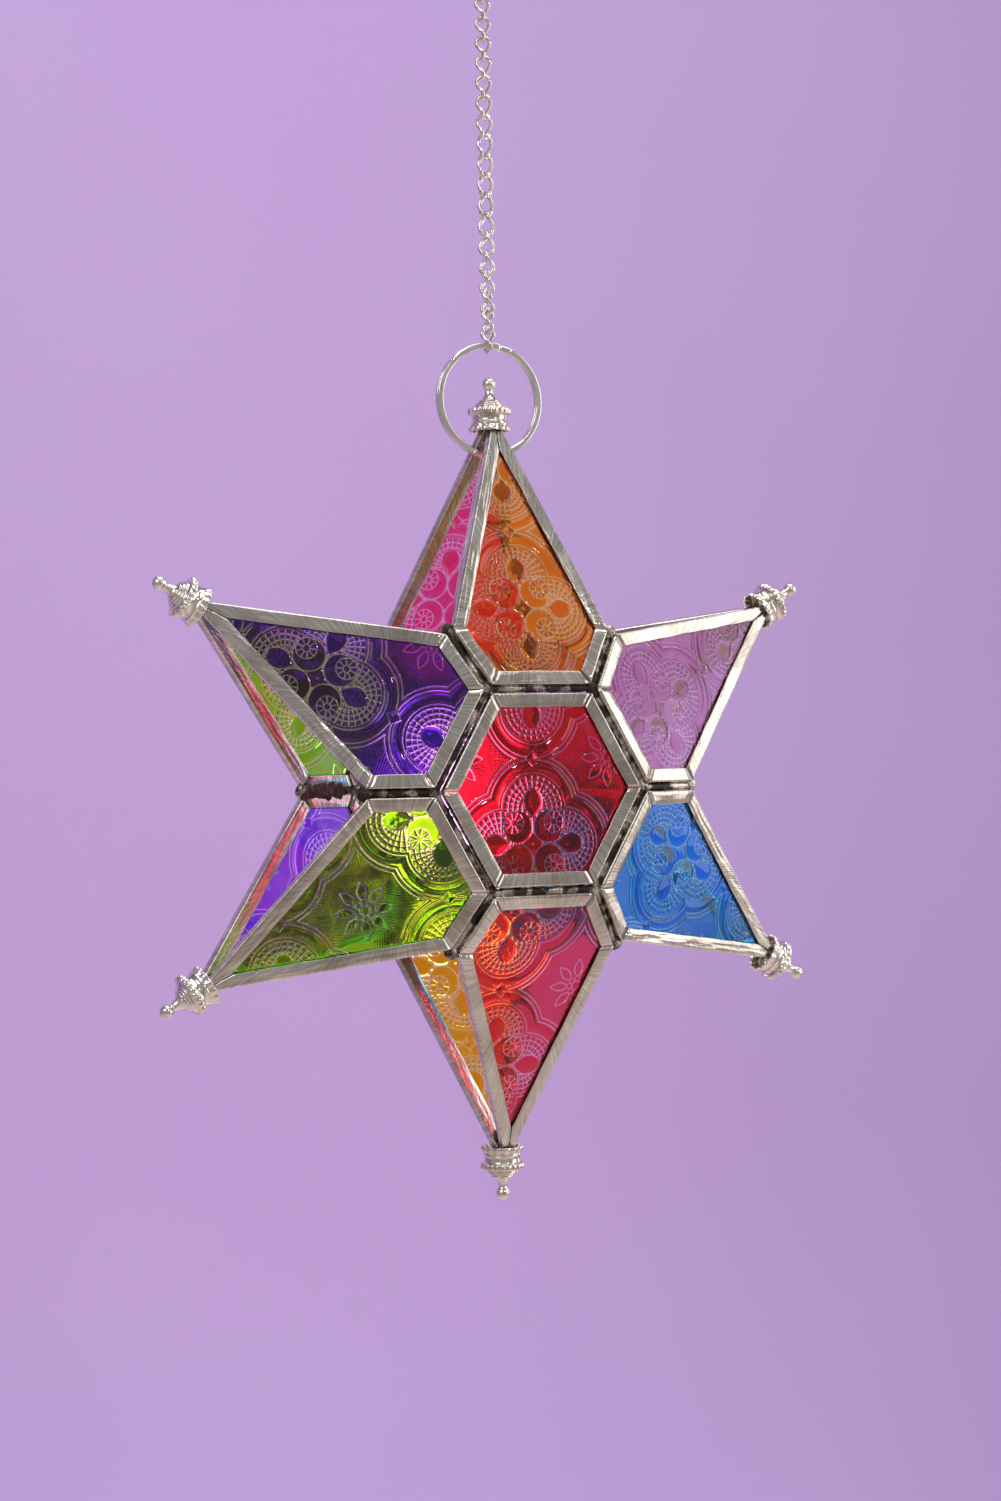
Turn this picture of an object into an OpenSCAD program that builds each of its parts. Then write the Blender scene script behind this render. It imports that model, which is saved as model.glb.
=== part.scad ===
// Hanging star lantern: two shells of framed glass panes, joined at six capped points,
// on a split ring, a curb chain and an S-hook. Millimetres, +Z up, the front shell faces -Y.
// The origin is where the S-hook's upper loop bears on whatever holds the lantern up.

/* [Star] */
// Distance from the star's centre to each corner of a hexagon pane
hexagon_r = 34.4; // [32:0.1:37]
// Distance from the star's centre to each valley between two points
valley_r = 54.7; // [52:0.1:57]
// Distance from the star's centre to where the two long edges of a point would meet
point_r = 117.6; // [115:0.1:120]
// Distance from the star's centre to the cut end of a point
point_cut_r = 111.5; // [110:0.1:112]
// Height of the outer face above the middle plane, at the hexagon
hexagon_depth = 32.5; // [30:0.1:35]
// Height of the outer face above the middle plane, where a point's long edges would meet
point_depth = 1.55; // [1.5:0.05:2]
// Width of the seam between the frames of neighbouring panes
seam_gap = 2.8; // [2:0.1:3.4]

/* [Frames and glass] */
// Width of a channel frame's face
flange_w = 4.2; // [3.4:0.1:5]
// Thickness of a channel frame across both faces
channel_t = 3.2; // [2.8:0.1:3.6]
// Thickness of the folded sheet
sheet_t = 0.4; // [0.3:0.05:0.5]
// Thickness of the glass
glass_t = 2.2; // [1.6:0.1:2.4]
// Room left round the glass in its channel
glass_play = 0.1; // [0.05:0.05:0.2]

/* [Solder and braces] */
// Radius of the solder blobs at the corners
blob_r = 2.9; // [2.4:0.1:3.4]
// Width of a brace strip
brace_w = 2.2; // [1.6:0.1:2.6]
// Thickness of a brace strip
brace_t = 1.6; // [1:0.1:2]
// Distance from the star's centre to a brace's lower end
brace_start_r = 58; // [54:0.5:66]
// Distance from the star's centre to a brace's upper end
brace_end_r = 98; // [90:0.5:99]

/* [Finials] */
// Distance from the star's centre to the middle of a finial's ball
ball_reach = 122.9; // [122:0.1:124]
// Diameter of the ball
ball_d = 4.2; // [3.6:0.1:5]
// Diameter of the shoulder under the neck
shoulder_d = 8.4; // [7.6:0.1:9]
// Diameter of the reeded band
reeded_d = 13.3; // [12.6:0.1:14]
// Diameter of the plain band
plain_d = 11.2; // [11:0.1:12]
// Diameter of the open skirt's mouth
skirt_d = 13; // [12.8:0.1:14]

/* [Split ring] */
// Outer diameter of the split ring
ring_d = 35; // [33:0.5:36]
// Thickness of the ring's wire, from inside to outside
ring_wire_radial = 1.8; // [1.4:0.1:2]
// Width of both coils together, along the ring's axis
ring_wire_axial = 2.4; // [2:0.1:2.4]
// Distance from the star's centre up to the middle of the ring's lowest wire
ring_seat_r = 101.4; // [101:0.1:102]

/* [Chain] */
// Diameter of the chain's wire
wire_d = 1.15; // [0.9:0.05:1.2]
// Radius of a link's round ends, at the middle of the wire
bend_r = 2.0; // [1.95:0.05:2.2]
// Length of a link's straight sides
side_l = 3.1; // [3:0.1:3.6]
// Room between two linked wires
link_play = 0.05; // [0.04:0.01:0.1]
// How far a link is twisted from one end to the other
link_twist = 90; // [90]
// Number of links in each of the five lengths of chain
links_per_segment = 4; // [4]

/* [Hook] */
// Diameter of the hook's wire
hook_wire_d = 2.0; // [1.6:0.1:2.2]
// Diameter of the small ball at each end of the hook
hook_end_d = 2.3; // [2.3:0.1:2.8]
// Radius of the hook's lower loop, at the middle of the wire
lower_loop_r = 3.2; // [3:0.1:4]
// Radius of the hook's upper loop, at the middle of the wire
upper_loop_r = 8.0; // [7:0.1:10]

/* [Candle tray and cup] */
// Width of the tray's strap
tray_w = 30; // [24:1:36]
// Thickness of the tray's strap
tray_t = 0.8; // [0.6:0.1:1]
// Height of the tray's end tabs
tray_tab_h = 3.6; // [3:0.1:4]
// Outer diameter of the candle cup
cup_d = 41; // [40:0.5:44]
// Height of the candle cup
cup_h = 10; // [8:0.5:12]
// Wall thickness of the candle cup
cup_wall = 0.8; // [0.6:0.1:1]

/* [Hidden] */

// Directions of the star's six points, seen from the front, in degrees from the right
TOP = 90;
UPPER_RIGHT = 30;
LOWER_RIGHT = -30;
BOTTOM = -90;
LOWER_LEFT = -150;
UPPER_LEFT = 150;
POINTS = [TOP, UPPER_RIGHT, LOWER_RIGHT, BOTTOM, LOWER_LEFT, UPPER_LEFT];

// Shells: a rear point is drawn as a front point and turned half round about the vertical
FRONT = 0;
REAR = 180;

METAL = "silver";
SOLDER = "gainsboro";
curve_fn = 48;

// The star's slopes. A point is drawn lying flat, its root on the x axis and its tip up +y
hexagon_edge_r = hexagon_r * cos(30);
valley_u = valley_r * cos(30);
slope = (hexagon_depth - point_depth) / (point_r - hexagon_edge_r);
tilt = atan(slope);
point_half_angle = atan(valley_r / 2 / (point_r - valley_u));
channel_depth = channel_t / cos(tilt);

// Height of a point's outer face above the middle plane, at distance u from the star's centre
function depth_at(u) = hexagon_depth - slope * (u - hexagon_edge_r);

// Distance along the flat pane, from its root to the place at distance u from the star's centre
function along(u) = (u - hexagon_edge_r) / cos(tilt);

// Corners of a closed outline moved inwards by d. The outline runs anticlockwise and is convex
function unit(v) = v / norm(v);
function edge_normal(p, i) =
    let (d = unit(p[(i + 1) % len(p)] - p[i]))
    [-d[1], d[0]];
function corner(p, i, d) =
    let (last = edge_normal(p, (i + len(p) - 1) % len(p)))
    let (next = edge_normal(p, i))
    p[i] + d * (last + next) / (1 + last * next);
function inset(p, d) = [for (i = [0 : len(p) - 1]) corner(p, i, d)];

// The hexagon's corners, and a point's corners in its own flat plane
hexagon_corners = [for (i = [0 : 5]) hexagon_r * [cos(60 * i), sin(60 * i)]];
root_left = [-hexagon_r / 2, 0];
root_right = [hexagon_r / 2, 0];
valley_left = [-valley_r / 2, along(valley_u)];
valley_right = [valley_r / 2, along(valley_u)];
cut_half = (point_r - point_cut_r) * tan(point_half_angle);
cut_right = [cut_half, along(point_cut_r)];
cut_left = [-cut_half, along(point_cut_r)];
meet = [0, along(point_r)];
sharp_point = [root_left, root_right, valley_right, meet, valley_left];
cut_point = [root_left, root_right, valley_right, cut_right, cut_left, valley_left];

// Finial heights, measured down from the ball's centre
shoulder_h = 6.8;
reeded_top_h = 7.4;
reeded_end_h = 9.4;
plain_end_h = 12.1;
mouth_h = 14.4;
cap_wall = 0.7;
cap_ceiling_h = 8.8;
cap_ceiling_r = ball_reach - cap_ceiling_h;

// The stepped neck, as [radius, distance below the ball's centre], from the shoulder to the ball
neck_steps = [[2.9, 6.0], [2.9, 5.2], [1.95, 4.4], [1.95, 3.4], [1.65, 2.8], [1.65, 0]];

// Chain: heights are measured from the origin at the top of the hook
pitch = side_l + 2 * bend_r - wire_d - link_play;
link_count = 5 * links_per_segment;
upper_loop_z = hook_wire_d / 2 - upper_loop_r;
lower_loop_z = upper_loop_z - upper_loop_r - lower_loop_r;
top_link_z = lower_loop_z - lower_loop_r + hook_wire_d / 2 + wire_d / 2 + link_play
    - bend_r - side_l / 2;
bottom_link_z = top_link_z - (link_count - 1) * pitch;

// The ring's two coils are wide for the lowest link, so they bear on the sides of its bend
// and the middle of the ring's wire stays level with the middle of the bend
ring_mid_r = ring_d / 2 - ring_wire_radial / 2;
ring_top_z = bottom_link_z - side_l / 2;
ring_z = ring_top_z - ring_mid_r;
star_z = ring_z - ring_mid_r - ring_seat_r;

// The lowest link hangs square to the ring. Each link above is turned a little further,
// and the turning dies away up the chain
first_turn = 16.6;
turn_fade = 0.41;
function link_angle(k) = -135 + first_turn * k - turn_fade * k * k;

// A link is swept round its closed centre line: two straight sides and two half circles
rings_per_bend = 6;
rings_per_side = 4;
wire_sides = 8;

// ---- Placing ----

// Moves a shape drawn about the star's centre to where the star hangs
module at_star() {
    translate([0, 0, star_z]) children();
}

// Stands a shell up: drawn with +z outwards and +y up, it ends facing -Y, or +Y when shell is REAR
module stand(shell) {
    at_star() rotate([90, 0, shell]) children();
}

// Lays a flat pane, drawn with its outer face at z = 0, on its slope in direction a.
// Seen from the front, a rear pane at direction a is the turned copy of the pane at 180 - a
module lay_point(shell, a) {
    turned = shell == REAR ? 180 - a : a;
    stand(shell)
        rotate([0, 0, turned - 90])
            translate([0, hexagon_edge_r, hexagon_depth])
                rotate([-tilt, 0, 0])
                    children();
}

module lay_hexagon(shell) {
    stand(shell) translate([0, 0, hexagon_depth]) children();
}

// ---- Panes ----

// A folded channel: a band round the outline, with a slot for the glass on its inner side
module channel(outer, slot, opening) {
    difference() {
        translate([0, 0, -channel_t]) linear_extrude(channel_t) polygon(outer);
        translate([0, 0, -channel_t - 1]) linear_extrude(channel_t + 2) polygon(opening);
        translate([0, 0, sheet_t - channel_t]) linear_extrude(channel_t - 2 * sheet_t) polygon(slot);
    }
}

module pane_glass(outline) {
    translate([0, 0, -channel_t / 2 - glass_t / 2]) linear_extrude(glass_t) polygon(outline);
}

module hexagon_frame(shell) {
    color(METAL) lay_hexagon(shell) channel(
        inset(hexagon_corners, seam_gap / 2),
        inset(hexagon_corners, seam_gap / 2 + sheet_t),
        inset(hexagon_corners, seam_gap / 2 + flange_w)
    );
}

module hexagon_glass(shell, tint) {
    color(tint) lay_hexagon(shell) pane_glass(
        inset(hexagon_corners, seam_gap / 2 + sheet_t + glass_play)
    );
}

module point_frame(shell, a) {
    color(METAL) lay_point(shell, a) channel(
        inset(cut_point, seam_gap / 2),
        inset(cut_point, seam_gap / 2 + sheet_t),
        inset(sharp_point, seam_gap / 2 + flange_w)
    );
}

module point_glass(shell, a, tint) {
    color(tint) lay_point(shell, a) pane_glass(
        inset(cut_point, seam_gap / 2 + sheet_t + glass_play)
    );
}

// ---- Solder ----

// The block of metal that each pane takes up, cut out of the solder so that it only touches
module shell_blocks() {
    translate([0, 0, hexagon_depth - channel_t])
        linear_extrude(channel_t)
            polygon(inset(hexagon_corners, seam_gap / 2));
    for (a = POINTS)
        rotate([0, 0, a - 90])
            translate([0, hexagon_edge_r, hexagon_depth])
                rotate([-tilt, 0, 0])
                    translate([0, 0, -channel_t])
                        linear_extrude(channel_t)
                            polygon(inset(cut_point, seam_gap / 2));
}

module shell_solder(shell) {
    color(SOLDER) stand(shell) difference() {
        for (i = [0 : 5]) rotate([0, 0, 60 * i]) {
            translate([hexagon_r, 0, hexagon_depth - channel_t / 2]) sphere(blob_r, $fn = curve_fn);
            translate([valley_r - 1, 0, depth_at(valley_u) - channel_depth / 2])
                sphere(blob_r, $fn = curve_fn);
        }
        shell_blocks();
    }
}

// Solder fills the wedge between a front point and a rear point, and the end of the cap
ring_room = 0.6;
wedge_start_r = ring_seat_r + ring_wire_radial / 2 + ring_room;
wedge_w = 1.6;
plug_play = 0.01;
plug_r = plain_d / 2 - cap_wall - plug_play;
module point_solder() {
    inner_start = depth_at(wedge_start_r) - channel_depth;
    inner_end = depth_at(point_cut_r) - channel_depth;
    color(SOLDER) at_star() rotate([90, 0, 0]) for (a = POINTS) rotate([0, 0, a]) {
        rotate([90, 0, 0]) translate([0, 0, -wedge_w / 2]) linear_extrude(wedge_w) polygon([
            [wedge_start_r, -inner_start], [point_cut_r, -inner_end],
            [point_cut_r, inner_end], [wedge_start_r, inner_start]
        ]);
        translate([point_cut_r, 0, 0]) rotate([0, 90, 0])
            cylinder(h = cap_ceiling_r - point_cut_r, r = plug_r, $fn = curve_fn);
    }
}

// ---- Finials ----

function below_ball(h) = ball_reach - h;

// Half outline of the cap, as radius and height, from the mouth's inner edge round to the ceiling
module cap_profile() {
    polygon(concat(
        [
            [skirt_d / 2 - cap_wall, below_ball(mouth_h)],
            [skirt_d / 2, below_ball(mouth_h)],
            [plain_d / 2, below_ball(plain_end_h)],
            [plain_d / 2, below_ball(reeded_end_h)],
            [reeded_d / 2, below_ball(reeded_end_h)],
            [reeded_d / 2, below_ball(reeded_top_h)],
            [shoulder_d / 2, below_ball(reeded_top_h)],
            [shoulder_d / 2, below_ball(shoulder_h)]
        ],
        [for (step = neck_steps) [step[0], below_ball(step[1])]],
        [
            [0, below_ball(0)],
            [0, below_ball(cap_ceiling_h)],
            [plain_d / 2 - cap_wall, below_ball(cap_ceiling_h)],
            [plain_d / 2 - cap_wall, below_ball(plain_end_h)]
        ]
    ));
}

module finial(a) {
    color(METAL) at_star() rotate([0, 90 - a, 0]) {
        rotate_extrude($fn = curve_fn) cap_profile();
        translate([0, 0, ball_reach]) sphere(d = ball_d, $fn = curve_fn);
    }
}

// ---- Braces ----

// Half angle of a point in its own flat plane, and a distance back from where its edges meet
edge_turn = atan(valley_right[0] / (meet[1] - valley_right[1]));
function brace_reach(u) = (meet[1] - along(u)) / cos(edge_turn);

// side is -1 for the left edge and 1 for the right edge, seen from the front
module brace(side) {
    long = brace_reach(brace_start_r) - brace_reach(brace_end_r);
    color(METAL) lay_point(FRONT, TOP)
        translate([0, meet[1], -channel_t - brace_t])
            rotate([0, 0, side * edge_turn])
                translate([side > 0 ? -brace_w - seam_gap / 2 : seam_gap / 2, -brace_reach(brace_start_r), 0])
                    cube([brace_w, long, brace_t]);
}

module brace_left() {
    brace(-1);
}

module brace_right() {
    brace(1);
}

// ---- Candle tray and cup ----

tray_z = -hexagon_edge_r + seam_gap / 2;
tray_reach = hexagon_depth - channel_t;
module candle_tray() {
    color(METAL) at_star() {
        translate([-tray_w / 2, -tray_reach, tray_z]) cube([tray_w, 2 * tray_reach, tray_t]);
        for (y = [-tray_reach, tray_reach - tray_t])
            translate([-tray_w / 2, y, tray_z]) cube([tray_w, tray_t, tray_tab_h]);
    }
}

module candle_cup() {
    color(METAL) at_star() translate([0, 0, tray_z + tray_t]) difference() {
        cylinder(h = cup_h, d = cup_d, $fn = curve_fn);
        translate([0, 0, cup_wall]) cylinder(h = cup_h, d = cup_d - 2 * cup_wall, $fn = curve_fn);
    }
}

// ---- Split ring ----

// A rectangle with round corners, centred on the origin
module round_bar(w, h, r) {
    square([w - 2 * r, h], center = true);
    square([w, h - 2 * r], center = true);
    for (x = [-1, 1], y = [-1, 1])
        translate([x * (w / 2 - r), y * (h / 2 - r)]) circle(r, $fn = curve_fn);
}

ring_corner_r = 0.5;
module split_ring() {
    color(METAL) translate([0, 0, ring_z]) rotate([90, 0, 0]) rotate_extrude($fn = curve_fn * 2)
        translate([ring_mid_r, 0]) round_bar(ring_wire_radial, ring_wire_axial, ring_corner_r);
}

// ---- Chain ----

// Centre line of a link in the XZ plane before twisting: four runs, each a list of [x, z]
function link_outline() = concat(
    [for (i = [0 : rings_per_side - 1]) [bend_r, side_l * (i / rings_per_side - 0.5)]],
    [for (i = [0 : rings_per_bend - 1]) let (t = 180 * i / rings_per_bend)
        [bend_r * cos(t), side_l / 2 + bend_r * sin(t)]],
    [for (i = [0 : rings_per_side - 1]) [-bend_r, side_l * (0.5 - i / rings_per_side)]],
    [for (i = [0 : rings_per_bend - 1]) let (t = 180 + 180 * i / rings_per_bend)
        [bend_r * cos(t), -side_l / 2 + bend_r * sin(t)]]
);

// A place on the centre line after twisting: the sides are twisted, the round ends are flat
function twisted(p) =
    let (share = max(-0.5, min(0.5, p[1] / side_l)))
    let (t = -link_twist * share)
    [p[0] * cos(t), p[0] * sin(t), p[1]];

function link_points(path) =
    let (n = len(path))
    [for (i = [0 : n - 1])
        let (ahead = unit(path[(i + 1) % n] - path[(i + n - 1) % n]))
        let (out = unit(cross(ahead, cross(path[i] + [0, 0, 0.001], ahead))))
        let (side = cross(ahead, out))
        for (j = [0 : wire_sides - 1])
            path[i] + wire_d / 2 * (cos(360 * j / wire_sides) * out + sin(360 * j / wire_sides) * side)];

function link_faces(n) =
    [for (i = [0 : n - 1], j = [0 : wire_sides - 1], half = [0, 1])
        let (i2 = (i + 1) % n, j2 = (j + 1) % wire_sides)
        let (near = i * wire_sides + j, far = i2 * wire_sides + j2)
        half == 0 ? [near, i * wire_sides + j2, far] : [near, far, i2 * wire_sides + j]];

module link() {
    path = [for (p = link_outline()) twisted(p)];
    polyhedron(link_points(path), link_faces(len(path)));
}

// Segment 1 hangs from the hook and segment 5 holds the ring. Links count up from the ring
module chain_segment(number) {
    first = (5 - number) * links_per_segment;
    color(METAL) for (k = [first : first + links_per_segment - 1])
        translate([0, 0, bottom_link_z + k * pitch]) rotate([0, 0, link_angle(k)]) link();
}

// ---- Hook ----

// An S: a closed-up lower loop through the top link and an open upper loop, square to that link
lower_loop_turn = 290;
upper_loop_turn = 245;
module wire_arc(r, turn) {
    rotate_extrude(angle = turn, $fn = curve_fn * 2) translate([r, 0]) circle(d = hook_wire_d, $fn = curve_fn);
}

module wire_end(r, turn) {
    rotate([0, 0, turn]) translate([r, 0, 0]) sphere(d = hook_end_d, $fn = curve_fn);
}

module hook() {
    color(METAL) rotate([0, 0, link_angle(link_count - 1) - link_twist / 2 + 90]) rotate([90, 0, 0]) {
        translate([0, lower_loop_z, 0]) rotate([0, 0, 90]) {
            wire_arc(lower_loop_r, lower_loop_turn);
            wire_end(lower_loop_r, lower_loop_turn);
        }
        translate([0, upper_loop_z, 0]) rotate([0, 0, -90]) {
            wire_arc(upper_loop_r, upper_loop_turn);
            wire_end(upper_loop_r, upper_loop_turn);
        }
    }
}

hexagon_frame(FRONT);  // front_hexagon_frame
hexagon_glass(FRONT, "crimson");  // front_hexagon_glass
point_frame(FRONT, TOP);  // front_top_frame
point_glass(FRONT, TOP, "darkorange");  // front_top_glass
point_frame(FRONT, UPPER_RIGHT);  // front_upper_right_frame
point_glass(FRONT, UPPER_RIGHT, "orchid");  // front_upper_right_glass
point_frame(FRONT, LOWER_RIGHT);  // front_lower_right_frame
point_glass(FRONT, LOWER_RIGHT, "deepskyblue");  // front_lower_right_glass
point_frame(FRONT, BOTTOM);  // front_bottom_frame
point_glass(FRONT, BOTTOM, "deeppink");  // front_bottom_glass
point_frame(FRONT, LOWER_LEFT);  // front_lower_left_frame
point_glass(FRONT, LOWER_LEFT, "olivedrab");  // front_lower_left_glass
point_frame(FRONT, UPPER_LEFT);  // front_upper_left_frame
point_glass(FRONT, UPPER_LEFT, "indigo");  // front_upper_left_glass
hexagon_frame(REAR);  // rear_hexagon_frame
hexagon_glass(REAR, "orchid");  // rear_hexagon_glass
point_frame(REAR, TOP);  // rear_top_frame
point_glass(REAR, TOP, "deeppink");  // rear_top_glass
point_frame(REAR, UPPER_RIGHT);  // rear_upper_right_frame
point_glass(REAR, UPPER_RIGHT, "orchid");  // rear_upper_right_glass
point_frame(REAR, LOWER_RIGHT);  // rear_lower_right_frame
point_glass(REAR, LOWER_RIGHT, "teal");  // rear_lower_right_glass
point_frame(REAR, BOTTOM);  // rear_bottom_frame
point_glass(REAR, BOTTOM, "darkorange");  // rear_bottom_glass
point_frame(REAR, LOWER_LEFT);  // rear_lower_left_frame
point_glass(REAR, LOWER_LEFT, "royalblue");  // rear_lower_left_glass
point_frame(REAR, UPPER_LEFT);  // rear_upper_left_frame
point_glass(REAR, UPPER_LEFT, "olivedrab");  // rear_upper_left_glass
shell_solder(FRONT);  // front_solder
shell_solder(REAR);  // rear_solder
point_solder();
finial(TOP);  // finial_top
finial(UPPER_RIGHT);  // finial_upper_right
finial(LOWER_RIGHT);  // finial_lower_right
finial(BOTTOM);  // finial_bottom
finial(LOWER_LEFT);  // finial_lower_left
finial(UPPER_LEFT);  // finial_upper_left
brace_left();
brace_right();
candle_tray();
candle_cup();
split_ring();
chain_segment(1);  // chain_1
chain_segment(2);  // chain_2
chain_segment(3);  // chain_3
chain_segment(4);  // chain_4
chain_segment(5);  // chain_5
hook();
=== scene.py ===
"""Hanging star lantern: the visual model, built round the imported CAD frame.

Shapes are worked out in millimetres in the CAD's own frame and become metres when a mesh is made.
A pane is drawn lying flat, its root on the x axis, its tip up +y and its outer face at z = 0.
"""

import math

import bpy
import numpy as np
from mathutils import Matrix, Vector


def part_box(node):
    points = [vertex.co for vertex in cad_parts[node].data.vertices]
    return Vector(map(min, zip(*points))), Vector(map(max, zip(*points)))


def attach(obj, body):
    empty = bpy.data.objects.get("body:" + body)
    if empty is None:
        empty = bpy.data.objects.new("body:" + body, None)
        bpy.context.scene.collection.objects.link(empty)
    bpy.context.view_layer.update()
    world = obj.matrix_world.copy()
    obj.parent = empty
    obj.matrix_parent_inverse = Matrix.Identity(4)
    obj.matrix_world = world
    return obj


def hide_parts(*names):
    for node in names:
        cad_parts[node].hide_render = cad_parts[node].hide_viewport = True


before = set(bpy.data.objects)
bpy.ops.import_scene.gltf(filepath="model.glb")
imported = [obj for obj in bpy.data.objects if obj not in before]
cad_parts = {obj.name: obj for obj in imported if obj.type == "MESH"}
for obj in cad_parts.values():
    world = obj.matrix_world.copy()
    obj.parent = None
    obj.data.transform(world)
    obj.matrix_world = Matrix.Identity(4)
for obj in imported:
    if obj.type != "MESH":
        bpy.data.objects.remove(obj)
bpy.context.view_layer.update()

MM = 0.001

# ---- Sizes, as in the CAD model ----

HEXAGON_R = 34.4
VALLEY_R = 54.7
POINT_R = 117.6
POINT_CUT_R = 111.5
HEXAGON_DEPTH = 32.5
POINT_DEPTH = 1.55
SEAM_GAP = 2.8
FLANGE_W = 4.2
CHANNEL_T = 3.2
SHEET_T = 0.4
GLASS_T = 2.2
GLASS_PLAY = 0.1

HEXAGON_EDGE_R = HEXAGON_R * math.cos(math.radians(30))
VALLEY_U = VALLEY_R * math.cos(math.radians(30))
SLOPE = (HEXAGON_DEPTH - POINT_DEPTH) / (POINT_R - HEXAGON_EDGE_R)
TILT = math.degrees(math.atan(SLOPE))


def along(u):
    """Distance along a flat pane from its root to the place at distance u from the star's centre."""
    return (u - HEXAGON_EDGE_R) / math.cos(math.radians(TILT))


def depth_at(u):
    """Height of a point's outer face above the star's middle plane, at distance u from the centre."""
    return HEXAGON_DEPTH - SLOPE * (u - HEXAGON_EDGE_R)


def middle(node):
    """Centre of a CAD node's box, in millimetres."""
    low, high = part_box(node)
    return np.array((low + high) / 2) / MM


STAR_Z = middle("front_hexagon_frame")[2]
RING_Z = middle("split_ring")[2]

POINTS = {
    "top": 90, "upper_right": 30, "lower_right": -30,
    "bottom": -90, "lower_left": -150, "upper_left": 150,
}
SHELLS = {"front": 0, "rear": 180}

# Each pane's tint, and where the nearest medallion of the pattern lies on it: x, y and degrees turned
PANES = {
    "front_hexagon": ("crimson", (-3.5, -15.8, 0)),
    "front_top": ("orange", (-1.6, 25.5, 0)),
    "front_upper_right": ("mauve", (1.3, 21, 90)),
    "front_lower_right": ("sky_blue", (-7.7, 26.8, 90)),
    "front_bottom": ("red_pink", (9.8, 6.5, 0)),
    "front_lower_left": ("green", (11.5, 3, -21)),
    "front_upper_left": ("indigo", (-3.3, 46.2, 90)),
    "rear_hexagon": ("mauve", (4, 9, 0)),
    "rear_top": ("magenta", (6, 31, 0)),
    "rear_upper_right": ("mauve", (-5, 17, 12)),
    "rear_lower_right": ("teal", (2, 38, 0)),
    "rear_bottom": ("amber", (-4, 27, 0)),
    "rear_lower_left": ("violet_blue", (7, 22, 0)),
    "rear_upper_left": ("green", (-2, 33, -9)),
}


# ---- Placing ----


def move(x, y, z):
    m = np.eye(4)
    m[:3, 3] = (x, y, z)
    return m


def turn(axis, degrees):
    return np.array(Matrix.Rotation(math.radians(degrees), 4, axis))


def placed(matrix, points):
    return points @ matrix[:3, :3].T + matrix[:3, 3]


def stand(shell):
    """Stands a shell up: drawn with +z outwards and +y up, it ends facing -Y, or +Y at the rear."""
    return move(0, 0, STAR_Z) @ turn("Z", SHELLS[shell]) @ turn("X", 90)


def lay_point(shell, direction):
    seen = 180 - direction if shell == "rear" else direction
    return stand(shell) @ turn("Z", seen - 90) @ move(0, HEXAGON_EDGE_R, HEXAGON_DEPTH) @ turn("X", -TILT)


def lay_pane(shell, name):
    if name == "hexagon":
        return stand(shell) @ move(0, 0, HEXAGON_DEPTH)
    return lay_point(shell, POINTS[name])


# ---- Outlines of the panes ----

hexagon_corners = np.array([
    [HEXAGON_R * math.cos(math.radians(60 * i)), HEXAGON_R * math.sin(math.radians(60 * i))]
    for i in range(6)
])
MEET_Y = along(POINT_R)
CUT_Y = along(POINT_CUT_R)
point_corners = np.array([
    [-HEXAGON_R / 2, 0],
    [HEXAGON_R / 2, 0],
    [VALLEY_R / 2, along(VALLEY_U)],
    [0, MEET_Y],
    [-VALLEY_R / 2, along(VALLEY_U)],
])
EDGE_LEAN = VALLEY_R / 2 / (MEET_Y - along(VALLEY_U))


def inset(corners, distance):
    """The corners of a convex anticlockwise outline, moved inwards."""
    ahead = np.roll(corners, -1, axis=0) - corners
    ahead /= np.linalg.norm(ahead, axis=1)[:, None]
    inward = np.stack([-ahead[:, 1], ahead[:, 0]], axis=1)
    before = np.roll(inward, 1, axis=0)
    share = 1 + (before * inward).sum(axis=1)
    return corners + distance * (before + inward) / share[:, None]


def tip(distance, side):
    """End of a point's long edge moved inwards: at the cut end, or where it meets the other edge."""
    meet_y = inset(point_corners, distance)[3, 1]
    y = min(CUT_Y, meet_y)
    return np.array([side * (meet_y - y) * EDGE_LEAN, y])


def strip_ends(name, distance):
    """The two ends of each side of a pane's outline, moved inwards, in order round it."""
    if name == "hexagon":
        corners = inset(hexagon_corners, distance)
        return [(corners[i], corners[(i + 1) % 6]) for i in range(6)]
    c = inset(point_corners, distance)
    return [(c[0], c[1]), (c[1], c[2]), (c[2], tip(distance, 1)), (tip(distance, -1), c[4]), (c[4], c[0])]


# ---- Building meshes ----


class Shape:
    """Points and faces gathered part by part, for one mesh."""

    def __init__(self):
        self.points, self.faces, self.uvs, self.smooth = [], [], [], []
        self.count = 0

    def add(self, points, faces, uvs, smooth=True, closed=True):
        """faces is a list of arrays of corner numbers, and uvs has a u and v for each of those corners."""
        if closed and volume(points, faces) < 0:
            faces = [f[:, ::-1] for f in faces]
            uvs = [uv[:, ::-1] for uv in uvs]
        smooth = smooth if isinstance(smooth, list) else [smooth] * len(faces)
        self.points.append(points)
        self.faces += [f + self.count for f in faces]
        self.uvs += uvs
        self.smooth += smooth
        self.count += len(points)


def volume(points, faces):
    total = 0
    for f in faces:
        first = points[f[:, 0]]
        for k in range(1, f.shape[1] - 1):
            total += (first * np.cross(points[f[:, k]], points[f[:, k + 1]])).sum()
    return total


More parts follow.
